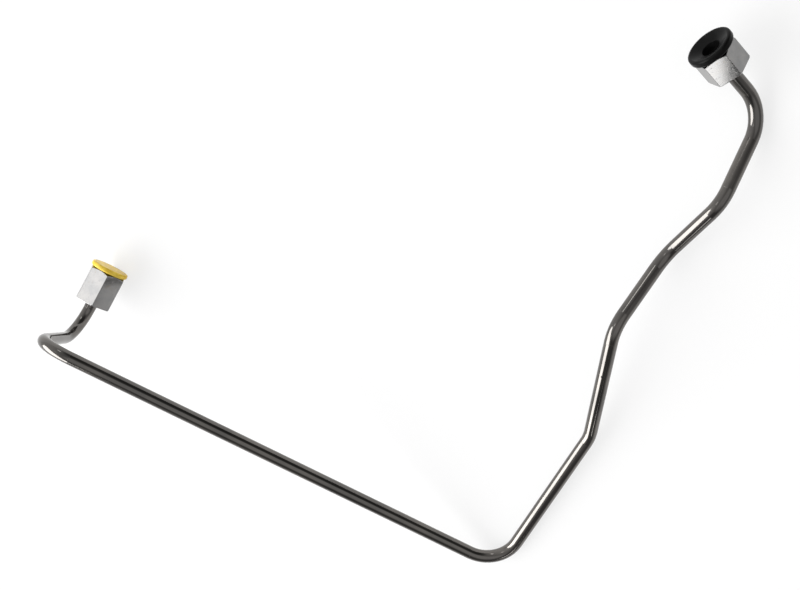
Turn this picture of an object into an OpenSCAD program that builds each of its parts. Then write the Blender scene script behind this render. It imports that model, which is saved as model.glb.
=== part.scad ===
// Bent tube line with a captive union nut and a dust plug at each end.
// The tube is laid out as a bend schedule: a straight, a twist about the tube and a bend, eight times over.
// The finished line is then settled on the floor on the three places where it touches.

/* [Tube] */
// Outside diameter of the tube
tube_d = 6; // [5:0.25:6.5]
// Wall thickness of the tube
tube_wall = 1.5; // [0.75:0.25:2]
// Centre-line radius of every bend
bend_r = 16; // [14:0.5:18]
// How much the wall thins on each side where the tube is bent
bend_thinning = 0.02; // [0.01:0.01:0.04]

/* [Straight lengths] */
// Straight between the inlet nut and bend 1
inlet_tail = 3; // [2:0.5:6]
// Straight between bend 1 and bend 2
hook_leg = 28; // [24:1:32]
// Straight between bend 2 and bend 3
long_run = 207; // [195:1:220]
// Straight between bend 3 and bend 4
arm_leg_1 = 63; // [57:1:69]
// Straight between bend 4 and bend 5
arm_leg_2 = 48; // [43:1:53]
// Straight between bend 5 and bend 6
arm_leg_3 = 24; // [20:1:28]
// Straight between bend 6 and bend 7
arm_leg_4 = 21; // [17:1:25]
// Straight between bend 7 and bend 8
arm_leg_5 = 22; // [18:1:26]
// Straight between bend 8 and the outlet nut
outlet_tail = 12; // [9:0.5:15]

/* [Bend angles] */
// Bend 1, above the inlet nut
bend_1 = 93; // [89:1:97]
// Bend 2, from the hook into the long run
bend_2 = 96; // [92:1:100]
// Bend 3, from the long run into the arm
bend_3 = 91; // [87:1:95]
// Bend 4, the first small bend of the arm
bend_4 = 23; // [19:1:27]
// Bend 5, in the middle of the arm
bend_5 = 48; // [44:1:52]
// Bend 6, in the middle of the arm
bend_6 = 45; // [41:1:49]
// Bend 7, near the top of the arm
bend_7 = 43; // [39:1:47]
// Bend 8, from the arm to the outlet nut
bend_8 = 79; // [75:1:83]

/* [Twists about the tube before each bend] */
// Twist from the plane of bend 1 to that of bend 2
twist_2 = -89; // [-93:1:-85]
// Twist from the plane of bend 2 to that of bend 3
twist_3 = 114; // [110:1:118]
// Twist from the plane of bend 3 to that of bend 4
twist_4 = 20; // [16:1:24]
// Twist from the plane of bend 4 to that of bend 5
twist_5 = -150; // [-154:1:-146]
// Twist from the plane of bend 5 to that of bend 6
twist_6 = -139; // [-143:1:-135]
// Twist from the plane of bend 6 to that of bend 7
twist_7 = -164; // [-168:1:-160]
// Twist from the plane of bend 7 to that of bend 8
twist_8 = 99; // [95:1:103]

/* [Tube heads] */
// How far the upset head stands out beyond the tube's outside
head_lip = 1.6; // [1.2:0.1:1.8]
// Length of the straight land round the head
head_land = 0.9; // [0.5:0.1:1.5]
// Diameter of the flat tip of the head's nose
nose_d = 5.8; // [5:0.1:6.5]
// Included angle of the sealing nose
nose_deg = 60; // [50:5:80]
// Angle between the shoulder behind the head and the tube's axis
shoulder_deg = 45; // [40:5:50]

/* [Union nuts] */
// Width across the flats of the inlet nut
inlet_nut_af = 17; // [16.5:0.5:19]
// Width across the flats of the outlet nut
outlet_nut_af = 16; // [15:0.5:17]
// Height of the inlet nut
inlet_nut_h = 18; // [15:0.5:20]
// Height of the outlet nut
outlet_nut_h = 11.5; // [11:0.5:14]
// Thickness of the wall that the tube passes through
nut_back_wall = 2.5; // [2:0.25:2.75]
// Nominal diameter of the inlet nut's thread
inlet_thread_d = 14; // [13:0.5:14]
// Nominal diameter of the outlet nut's thread
outlet_thread_d = 12; // [11.75:0.25:12.5]
// Pitch of the thread
thread_pitch = 1.5; // [1:0.25:2]
// Depth of the countersink at the mouth of the thread
mouth_chamfer = 0.5; // [0.2:0.1:0.8]
// How much smaller than the flats the round end face inside the corner chamfer is
nut_face_inset = 1; // [0.5:0.1:1.2]
// Slope of the corner chamfer
nut_chamfer_deg = 30; // [15:5:45]
// Width of the broken edge round the back of the nut, measured at the corners
nut_back_edge = 0.4; // [0.2:0.1:0.8]
// How far the inlet nut is turned about the tube
inlet_nut_turn = 17; // [-60:1:60]
// How far the outlet nut is turned about the tube
outlet_nut_turn = 13; // [-60:1:60]

/* [Dust plugs] */
// Diameter of the plugs' flanges
plug_flange_d = 19; // [18:0.5:21]
// Thickness of the inlet plug's flange
inlet_flange_t = 2.5; // [2.25:0.25:4]
// Thickness of the outlet plug's flange
outlet_flange_t = 3; // [2.25:0.25:4]
// Radius of the flanges' rounded rims
plug_rim_r = 0.9; // [0.4:0.1:0.9]
// Width of the rim round the funnel in the outlet plug's flange
funnel_rim_w = 1.3; // [1:0.1:2]
// Wall and floor thickness of the hollow plugs
plug_wall = 1.2; // [0.8:0.1:1.6]
// How much the plugs' shanks narrow from flange to tip, on the radius
plug_taper = 0.3; // [0.1:0.05:0.5]

/* [Fits] */
// Clearance round the tube in the back of a nut, on the radius
swivel_clear = 0.08; // [0.04:0.01:0.1]
// Clearance round a plug in the thread of a nut, on the radius
plug_clear = 0.1; // [0.05:0.05:0.2]
// Gap between the tip of a plug and the tip of the tube's head
plug_head_gap = 0.5; // [0.3:0.1:1]

/* [Hidden] */
$fn = 96;

// Sizes that follow from the tube
tube_r = tube_d / 2;
bore_r = tube_r - tube_wall;
head_r = tube_r + head_lip;
nose_len = (head_r - nose_d / 2) / tan(nose_deg / 2);
shoulder_len = head_lip / tan(shoulder_deg);
head_len = nose_len + head_land + shoulder_len;

// Sizes that follow from the thread
// An internal thread is bored to its minor diameter, this many pitches under the nominal one
minor_ratio = 1.0825;
function minor_r(thread_d) = (thread_d - minor_ratio * thread_pitch) / 2;
hole_r = tube_r + swivel_clear;
flange_r = plug_flange_d / 2;
function shank_r(thread_d) = minor_r(thread_d) - plug_clear;
function plug_depth(nut_h) = nut_h - nut_back_wall - head_len - plug_head_gap;

// Sizes that follow from the flats of a nut
function corner_r(af) = af / 2 / cos(30);
function face_r(af) = (af - nut_face_inset) / 2;
function corner_drop(af) = (corner_r(af) - face_r(af)) * tan(nut_chamfer_deg);
// Tools that cut through a face reach this far past it
past = 1;
// Straights reach this far into the bends
bend_lap = 0.1;

// The bend schedule, from the base of the inlet head to the base of the outlet head
straights = [
    nut_back_wall + inlet_tail, hook_leg, long_run, arm_leg_1, arm_leg_2,
    arm_leg_3, arm_leg_4, arm_leg_5, outlet_tail + nut_back_wall
];
bends = [bend_1, bend_2, bend_3, bend_4, bend_5, bend_6, bend_7, bend_8];
twists = [0, twist_2, twist_3, twist_4, twist_5, twist_6, twist_7, twist_8];
last = len(bends);

// Moves as matrices, each read in the frame that the moves before it leave
function shift(v) = [[1, 0, 0, v.x], [0, 1, 0, v.y], [0, 0, 1, v.z], [0, 0, 0, 1]];
function turn_x(a) = [[1, 0, 0, 0], [0, cos(a), -sin(a), 0], [0, sin(a), cos(a), 0], [0, 0, 0, 1]];
function turn_y(a) = [[cos(a), 0, sin(a), 0], [0, 1, 0, 0], [-sin(a), 0, cos(a), 0], [0, 0, 0, 1]];
function turn_z(a) = [[cos(a), -sin(a), 0, 0], [sin(a), cos(a), 0, 0], [0, 0, 1, 0], [0, 0, 0, 1]];
function along(l) = shift([0, 0, l]);
function round_bend(a) = shift([bend_r, 0, 0]) * turn_y(a) * shift([-bend_r, 0, 0]);
function spot(m) = [m[0][3], m[1][3], m[2][3]];
function heading(m) = [m[0][2], m[1][2], m[2][2]];
function unit(v) = v / norm(v);

// Frames along the tube: Z runs along the centre line and X points to the centre of the bend
function bend_frame(i) = leg_frame(i) * along(straights[i]) * turn_z(twists[i]);
function leg_frame(i) = i == 0 ? turn_z(0) : bend_frame(i - 1) * round_bend(bends[i - 1]);
inlet_end = leg_frame(0);
outlet_end = leg_frame(last) * along(straights[last]) * turn_x(180);

// A nut's frame stands on its back face, with Z out through its open mouth
function nut_frame(end) = end * along(nut_back_wall) * turn_x(180);
inlet_seat = nut_frame(inlet_end);
outlet_seat = nut_frame(outlet_end);

// Rings that can touch the floor: centre, axis, radius, and radius of the rounded edge
function ring(m, r, edge) = [spot(m), heading(m), r, edge];
station_deg = 3;
function bend_rings(i) =
    [for (a = [0 : station_deg : bends[i]]) ring(bend_frame(i) * round_bend(a), tube_r, 0)];
function end_rings(seat, af, nut_h, flange_t) = [
    ring(seat * along(nut_back_edge), corner_r(af), 0),
    ring(seat * along(nut_h - corner_drop(af)), corner_r(af), 0),
    ring(seat * along(nut_h + plug_rim_r), flange_r - plug_rim_r, plug_rim_r),
    ring(seat * along(nut_h + flange_t - plug_rim_r), flange_r - plug_rim_r, plug_rim_r)
];
inlet_end_rings = end_rings(inlet_seat, inlet_nut_af, inlet_nut_h, inlet_flange_t);
outlet_end_rings = end_rings(outlet_seat, outlet_nut_af, outlet_nut_h, outlet_flange_t);
function several_bends(list) = [for (i = list) each bend_rings(i)];
inlet_rings = concat(inlet_end_rings, several_bends([0, 1]));
elbow_rings = several_bends([2, 3]);
outlet_rings = concat(outlet_end_rings, several_bends([4, 5, 6, 7]));
all_rings = concat(inlet_rings, elbow_rings, outlet_rings);

// The farthest point of a ring, and the farthest of several rings, in a direction
function far_spot(r, v) = r[0] + r[2] * unit(v - r[1] * (r[1] * v)) + r[3] * v;
function reach(rings, v) = max([for (r = rings) far_spot(r, v) * v]);
function farthest(rings, v) =
    [for (r = rings, far = reach(rings, v)) if (far_spot(r, v) * v >= far) far_spot(r, v)][0];

// The floor lies under the lowest places of the inlet end, the elbow and the outlet end
function floor_up(a, b, c) = unit(cross(b - a, c - a));
function settle(up, passes) = passes == 0 ? up : settle(
    floor_up(farthest(inlet_rings, -up), farthest(elbow_rings, -up), farthest(outlet_rings, -up)),
    passes - 1
);
first_up = unit([1, 0, 0.2]);
settle_passes = 12;
up = settle(first_up, settle_passes);

// In plan the line from the hook's bend to the elbow's bend runs across and towards the front
run_turn = -28;
run_way = heading(leg_frame(2));
plan_x = unit(run_way - up * (run_way * up));
plan_y = cross(up, plan_x);
function plan_way(a) = plan_x * cos(a) + plan_y * sin(a);
right = plan_way(-run_turn);
back = plan_way(90 - run_turn);
function middle(v) = (reach(all_rings, v) - reach(all_rings, -v)) / 2;
rest = [
    [right.x, right.y, right.z, -middle(right)],
    [back.x, back.y, back.z, -middle(back)],
    [up.x, up.y, up.z, reach(all_rings, -up)],
    [0, 0, 0, 1]
];

// The tube's cross-section, thinned on both sides where it is bent
module wall_section(thinning) {
    difference() {
        circle(tube_r - thinning);
        circle(bore_r + thinning);
    }
}

// A straight length of tube
module leg(l) {
    linear_extrude(l) wall_section(0);
}

// A bend of the tube, starting at the frame's origin
module bend(a) {
    translate([bend_r, 0, 0]) rotate([90, 0, 180])
        rotate_extrude(angle = a) translate([bend_r, 0]) wall_section(bend_thinning);
}

// The upset head, with its base at the frame's origin: shoulder, land, sealing nose and flat tip
module head() {
    rotate_extrude() polygon([
        [bore_r, 0],
        [tube_r, 0],
        [head_r, -shoulder_len],
        [head_r, -shoulder_len - head_land],
        [nose_d / 2, -head_len],
        [bore_r, -head_len]
    ]);
}

// The end straights carry a head, and every straight laps the bends that it meets
module tube() {
    color("dimgray") multmatrix(rest) {
        multmatrix(inlet_end) {
            head();
            leg(straights[0] + bend_lap);
        }
        multmatrix(outlet_end) {
            head();
            leg(straights[last] + bend_lap);
        }
        for (i = [1 : last - 1])
            multmatrix(leg_frame(i) * along(-bend_lap)) leg(straights[i] + 2 * bend_lap);
        for (i = [0 : last - 1]) multmatrix(bend_frame(i)) bend(bends[i]);
    }
}

// Outside of a nut's turned blank: broken edge at the back, corner chamfer at the mouth
module nut_blank(af, h) {
    rim_r = corner_r(af) + past;
    rotate_extrude() polygon([
        [0, 0],
        [corner_r(af) - nut_back_edge, 0],
        [rim_r, nut_back_edge + past],
        [rim_r, h - corner_drop(af) - past * tan(nut_chamfer_deg)],
        [face_r(af), h],
        [0, h]
    ]);
}

// Inside of a nut: tube hole, conical seat for the head's shoulder, thread bore and countersunk mouth
module nut_bore(thread_d, h) {
    r = minor_r(thread_d);
    seat_len = (r - hole_r) / tan(shoulder_deg);
    rotate_extrude() polygon([
        [0, -past],
        [hole_r, -past],
        [hole_r, nut_back_wall],
        [r, nut_back_wall + seat_len],
        [r, h - mouth_chamfer],
        [r + mouth_chamfer, h],
        [r + mouth_chamfer, h + past],
        [0, h + past]
    ]);
}

module union_nut(af, thread_d, h, turned) {
    difference() {
        intersection() {
            rotate(turned) cylinder(h = h, r = corner_r(af), $fn = 6);
            nut_blank(af, h);
        }
        nut_bore(thread_d, h);
    }
}

// Half section of a plug's flange, with its rounded rim
module flange_section(t) {
    square([flange_r - plug_rim_r, t]);
    translate([0, plug_rim_r]) square([flange_r, t - 2 * plug_rim_r]);
    for (y = [plug_rim_r, t - plug_rim_r]) translate([flange_r - plug_rim_r, y]) circle(plug_rim_r);
}

// Outside of a plug: flange on the nut's end face and tapered shank in the thread
module plug_body(thread_d, depth, flange_t) {
    top_r = shank_r(thread_d);
    rotate_extrude() flange_section(flange_t);
    translate([0, 0, -depth]) cylinder(h = depth, r1 = top_r - plug_taper, r2 = top_r);
}

// A plug with a closed flat face, hollow from its tip
module closed_plug(thread_d, depth, flange_t) {
    hollow_r = shank_r(thread_d) - plug_taper - plug_wall;
    difference() {
        plug_body(thread_d, depth, flange_t);
        translate([0, 0, -depth - past]) cylinder(h = past + depth + flange_t - plug_wall, r = hollow_r);
    }
}

// A plug with a closed tip, whose cup opens into a funnel in the flange
module open_plug(thread_d, depth, flange_t) {
    cup_r = shank_r(thread_d) - plug_wall;
    funnel_r = flange_r - funnel_rim_w;
    difference() {
        plug_body(thread_d, depth, flange_t);
        rotate_extrude() polygon([
            [0, plug_wall - depth],
            [cup_r - plug_taper, plug_wall - depth],
            [cup_r, plug_wall],
            [funnel_r, flange_t],
            [funnel_r, flange_t + past],
            [0, flange_t + past]
        ]);
    }
}

module inlet_nut() {
    color("silver") multmatrix(rest * inlet_seat)
        union_nut(inlet_nut_af, inlet_thread_d, inlet_nut_h, inlet_nut_turn);
}

module inlet_plug() {
    color("goldenrod") multmatrix(rest * inlet_seat) translate([0, 0, inlet_nut_h])
        closed_plug(inlet_thread_d, plug_depth(inlet_nut_h), inlet_flange_t);
}

module outlet_nut() {
    color("silver") multmatrix(rest * outlet_seat)
        union_nut(outlet_nut_af, outlet_thread_d, outlet_nut_h, outlet_nut_turn);
}

module outlet_plug() {
    color([0.1, 0.1, 0.1]) multmatrix(rest * outlet_seat) translate([0, 0, outlet_nut_h])
        open_plug(outlet_thread_d, plug_depth(outlet_nut_h), outlet_flange_t);
}

tube();
inlet_nut();
inlet_plug();
outlet_nut();
outlet_plug();
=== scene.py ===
import math

import bpy
from mathutils import Matrix, Quaternion, Vector

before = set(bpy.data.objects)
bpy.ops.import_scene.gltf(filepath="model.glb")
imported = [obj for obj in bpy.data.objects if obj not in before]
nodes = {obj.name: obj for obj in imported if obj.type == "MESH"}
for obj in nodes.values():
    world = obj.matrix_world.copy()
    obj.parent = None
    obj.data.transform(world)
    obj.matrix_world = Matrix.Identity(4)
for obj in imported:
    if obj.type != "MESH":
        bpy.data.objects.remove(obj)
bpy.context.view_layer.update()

scene = bpy.context.scene

# Places on the part and the radii of the nick, in metres
NICK = (0.1073, -0.02144, 0.01874)
NICK_CORE = 0.0004
NICK_RIM = 0.0009
ARM = (0.11, 0.0, 0.012)
ARM_LEG_3 = (0.12, 0.0165, 0.014)
INLET_NUT = (-0.149, -0.009, 0.012)
OUTLET_NUT = (0.142, 0.113, 0.017)

# Where the photo was taken from, with the directions of its right side and its top
CAMERA_PLACE = (0.15641, 0.1035, 0.43541)
CAMERA_RIGHT = (0.9443, 0.0295, -0.3278)
CAMERA_UP = (-0.0987, 0.9755, -0.1965)

FLOOR_SIZE = 24.0
FLOOR_GLOW = 0.75
BEVEL_SAMPLES = 6

# The Mix node's colour sockets, whose names its other sockets share
COLOUR_A, COLOUR_B, COLOUR_OUT = 6, 7, 2


class Value:
    """A shader socket that can be added, subtracted and multiplied."""

    def __init__(self, tree, socket):
        self.tree = tree
        self.socket = socket

    def node(self, kind, settings=None, values=None, out=0):
        """Makes any other node: its settings first, then its socket values or links."""
        made = self.tree.nodes.new(kind)
        for name, value in (settings or {}).items():
            setattr(made, name, value)
        for name, value in (values or {}).items():
            if isinstance(value, Value):
                self.tree.links.new(value.socket, made.inputs[name])
            else:
                made.inputs[name].default_value = value
        return Value(self.tree, made.outputs[out])

    def math(self, operation, first, second):
        return self.node("ShaderNodeMath", {"operation": operation}, {0: first, 1: second})

    def __add__(self, other):
        return self.math("ADD", self, other)

    def __radd__(self, other):
        return self.math("ADD", other, self)

    def __sub__(self, other):
        return self.math("SUBTRACT", self, other)

    def __rsub__(self, other):
        return self.math("SUBTRACT", other, self)

    def __mul__(self, other):
        return self.math("MULTIPLY", self, other)

    def __rmul__(self, other):
        return self.math("MULTIPLY", other, self)

    def vector(self, operation, other):
        """A number worked out from this vector and another one."""
        return self.node(
            "ShaderNodeVectorMath",
            {"operation": operation},
            {0: self, 1: other},
            out="Value",
        )

    def band(self, low, high):
        """0 below low, 1 above high, and smooth between."""
        return self.node(
            "ShaderNodeMapRange",
            {"interpolation_type": "SMOOTHSTEP"},
            {"Value": self, "From Min": low, "From Max": high},
        )

    def between(self, first, second):
        """A colour that goes from first to second as this value goes from 0 to 1."""
        return self.node(
            "ShaderNodeMix",
            {"data_type": "RGBA"},
            {"Factor": self, COLOUR_A: first, COLOUR_B: second},
            out=COLOUR_OUT,
        )


def grey(level, warmth=0.0):
    return (level * (1 + warmth), level, level * (1 - warmth), 1.0)


class Look:
    """One material, with its Principled shader and the place of each point in the part."""

    def __init__(self, name, constants):
        self.material = bpy.data.materials.new(name)
        self.material.use_nodes = True
        self.tree = self.material.node_tree
        self.shader = self.tree.nodes["Principled BSDF"]
        for socket, value in constants.items():
            self.shader.inputs[socket].default_value = value
        coordinates = self.tree.nodes.new("ShaderNodeTexCoord")
        self.place = Value(self.tree, coordinates.outputs["Object"])

    def noise(self, scale, detail=3.0, roughness=0.55):
        return self.place.node(
            "ShaderNodeTexNoise",
            None,
            {"Vector": self.place, "Scale": scale, "Detail": detail, "Roughness": roughness},
        )

    def feed(self, socket, value):
        self.tree.links.new(value.socket, self.shader.inputs[socket])

    def rounded(self, radius):
        """The surface's direction, with its edges rounded to the given radius."""
        return self.place.node("ShaderNodeBevel", {"samples": BEVEL_SAMPLES}, {"Radius": radius})

    def bump(self, height, strength, depth, edge):
        """Fine relief, over edges that are rounded to the given radius."""
        self.feed("Normal", height.node(
            "ShaderNodeBump",
            None,
            {"Strength": strength, "Distance": depth, "Height": height, "Normal": self.rounded(edge)},
        ))

    def edges(self, radius):
        """1 along the edges of the piece and 0 on its faces."""
        flat = self.place.node("ShaderNodeNewGeometry", out="Normal")
        alike = self.rounded(radius).vector("DOT_PRODUCT", flat)
        return (1.0 - alike).band(0.01, 0.12)

    def put_on(self, *names):
        for name in names:
            nodes[name].data.materials.clear()
            nodes[name].data.materials.append(self.material)


def tube_look():
    """Dark bright-drawn steel: mottled tone, fine grain, a few dull smudges and one dark nick."""
    look = Look("dark drawn steel", {"Metallic": 1.0})
    tone = look.noise(55.0, detail=4.0).band(0.35, 0.68)
    smudge = look.noise(140.0, detail=5.0, roughness=0.65).band(0.56, 0.74)
    grain = look.noise(1500.0, detail=2.0)
    nick = 1.0 - look.place.vector("DISTANCE", NICK).band(NICK_CORE, NICK_RIM)
    steel = tone.between(grey(0.12, warmth=0.05), grey(0.155, warmth=0.07))
    look.feed("Base Color", nick.between(steel, grey(0.02)))
    look.feed("Roughness", 0.085 + grain * 0.04 + smudge * 0.09 + nick * 0.4)
    look.bump(grain, strength=0.03, depth=0.00005, edge=0.0001)
    return look


def nut_look():
    """Bright plating over turned steel: faint cloudiness, fine scuffs, stains and worn edges."""
    look = Look("bright plating", {"Metallic": 1.0})
    cloud = look.noise(210.0, detail=4.0).band(0.3, 0.7)
    scuff = look.noise(900.0, roughness=0.7).band(0.6, 0.72)
    stain = look.noise(330.0, detail=4.0, roughness=0.6).band(0.6, 0.78)
    worn = look.edges(0.0004) * (0.35 + scuff * 0.65)
    plate = cloud.between(grey(0.22), grey(0.26, warmth=0.02))
    stained = (stain * 0.7).between(plate, (0.21, 0.175, 0.13, 1.0))
    look.feed("Base Color", worn.between(stained, grey(0.42, warmth=0.02)))
    look.feed("Roughness", 0.06 + cloud * 0.03 + scuff * 0.08 + worn * 0.12)
    look.bump(scuff, strength=0.06, depth=0.00004, edge=0.00035)
    return look


def plug_look(name, dark, pale, specular, patch_scale, skin_scale, roughness, skin_roughness, relief):
    """Moulded plastic, a little darker in patches, with a faint skin texture."""
    look = Look(name, {"Specular IOR Level": specular})
    patch = look.noise(patch_scale).band(0.3, 0.7)
    skin = look.noise(skin_scale, detail=2.0)
    look.feed("Base Color", patch.between(dark, pale))
    look.feed("Roughness", roughness + skin * skin_roughness)
    look.bump(skin, strength=relief, depth=0.00005, edge=0.0002)
    return look


def lay_floor():
    """A pale floor, partly lit from within where it is seen, so that it is white with a soft shadow."""
    bpy.ops.mesh.primitive_plane_add(size=FLOOR_SIZE)
    floor = bpy.context.object
    floor.name = "floor"
    look = Look("pale floor", {"Base Color": grey(0.9), "Roughness": 0.9, "Specular IOR Level": 0.0})
    ray = look.tree.nodes.new("ShaderNodeLightPath")
    seen = Value(look.tree, ray.outputs["Is Camera Ray"])
    for name in ("Is Glossy Ray", "Is Transmission Ray"):
        seen = seen.math("MAXIMUM", seen, Value(look.tree, ray.outputs[name]))
    glow = seen.node("ShaderNodeEmission", None, {"Color": grey(1.0), "Strength": 1.0})
    lit = Value(look.tree, look.shader.outputs[0])
    mixed = seen.node("ShaderNodeMixShader", None, {0: seen * FLOOR_GLOW, 1: lit, 2: glow})
    look.tree.links.new(mixed.socket, look.tree.nodes["Material Output"].inputs["Surface"])
    floor.data.materials.append(look.material)


def way(azimuth, elevation):
    """The direction at the given angles, in degrees, from the x axis and from the floor."""
    flat = math.cos(math.radians(elevation))
    return Vector((
        flat * math.cos(math.radians(azimuth)),
        flat * math.sin(math.radians(azimuth)),
        math.sin(math.radians(elevation)),
    ))


def softbox(
    name, target, azimuth, elevation, distance, width, height, watts, shape="RECTANGLE", roll=0.0
):
    """A flat lamp that faces its target and isn't seen by the camera itself."""
    light = bpy.data.lights.new(name, "AREA")
    light.shape = shape
    light.size = width
    light.size_y = height
    light.energy = watts
    lamp = bpy.data.objects.new(name, light)
    lamp.visible_camera = False
    scene.collection.objects.link(lamp)
    direction = way(azimuth, elevation)
    lamp.location = Vector(target) + direction * distance
    turned = Quaternion((0.0, 0.0, 1.0), math.radians(roll))
    lamp.rotation_euler = (direction.to_track_quat("Z", "Y") @ turned).to_euler()


def set_surroundings():
    """Pale studio walls, brightest to the left, a pale panel overhead, dark behind and in front."""
    world = bpy.data.worlds.new("studio")
    scene.world = world
    world.use_nodes = True
    tree = world.node_tree
    around = Value(tree, tree.nodes.new("ShaderNodeTexCoord").outputs["Generated"])

    def area(azimuth, elevation, border, middle):
        """1 in the middle of an area and 0 past its border, both given as cosines."""
        return around.vector("DOT_PRODUCT", way(azimuth, elevation)).band(border, middle)

    left = area(170.0, 0.0, -0.2, 0.9)
    behind = area(48.0, 14.0, 0.74, 0.96)
    overhead = area(345.0, 64.0, 0.8, 0.92)
    front = area(285.0, 35.0, 0.82, 0.92)
    ceiling = 0.36 + left * 0.5 + overhead * 0.36 - behind * 0.28 - front * 0.2
    walls = 0.55 + left * 0.35 - behind * 0.42
    height = area(0.0, 90.0, 0.1, 0.3)
    level = walls + height * (ceiling - walls)
    background = tree.nodes["Background"]
    background.inputs["Strength"].default_value = 1.0
    tree.links.new(level.between(grey(0.0), grey(1.0)).socket, background.inputs["Color"])


def place_camera():
    """The camera, standing where the photo was taken from."""
    camera = bpy.data.cameras.new("camera")
    camera.sensor_fit = "HORIZONTAL"
    camera.sensor_width = 36.0
    camera.lens = 45.0
    camera.clip_start = 0.01
    eye = bpy.data.objects.new("camera", camera)
    scene.collection.objects.link(eye)
    right = Vector(CAMERA_RIGHT).normalized()
    upward = Vector(CAMERA_UP)
    up = (upward - right * upward.dot(right)).normalized()
    turn = Matrix((right, up, right.cross(up))).transposed()
    eye.matrix_world = Matrix.Translation(CAMERA_PLACE) @ turn.to_4x4()
    scene.camera = eye


tube_look().put_on("tube")
nut_look().put_on("inlet_nut", "outlet_nut")
plug_look(
    "yellow plastic", dark=(0.76, 0.50, 0.045, 1.0), pale=(0.90, 0.66, 0.10, 1.0), specular=0.12,
    patch_scale=160.0, skin_scale=2200.0, roughness=0.26, skin_roughness=0.12, relief=0.05,
).put_on("inlet_plug")
plug_look(
    "black plastic", dark=grey(0.004), pale=grey(0.007), specular=0.06,
    patch_scale=180.0, skin_scale=2000.0, roughness=0.25, skin_roughness=0.1, relief=0.04,
).put_on("outlet_plug")

lay_floor()

# The key makes the streak along the arm, and the small lamps light one leg and one face of each nut
softbox(
    "key", ARM, azimuth=202.0, elevation=30.0, distance=2.5,
    width=3.2, height=1.8, watts=95.0, shape="ELLIPSE", roll=12.0,
)
softbox(
    "back lamp", ARM_LEG_3, azimuth=109.0, elevation=31.0, distance=1.2,
    width=0.18, height=0.18, watts=0.35,
)
softbox(
    "side lamp", INLET_NUT, azimuth=142.0, elevation=62.0, distance=1.2,
    width=0.16, height=0.16, watts=0.2,
)
softbox(
    "front lamp", OUTLET_NUT, azimuth=282.2, elevation=24.5, distance=1.28,
    width=0.12, height=0.14, watts=0.2,
)

set_surroundings()
place_camera()
scene.view_settings.view_transform = "Standard"
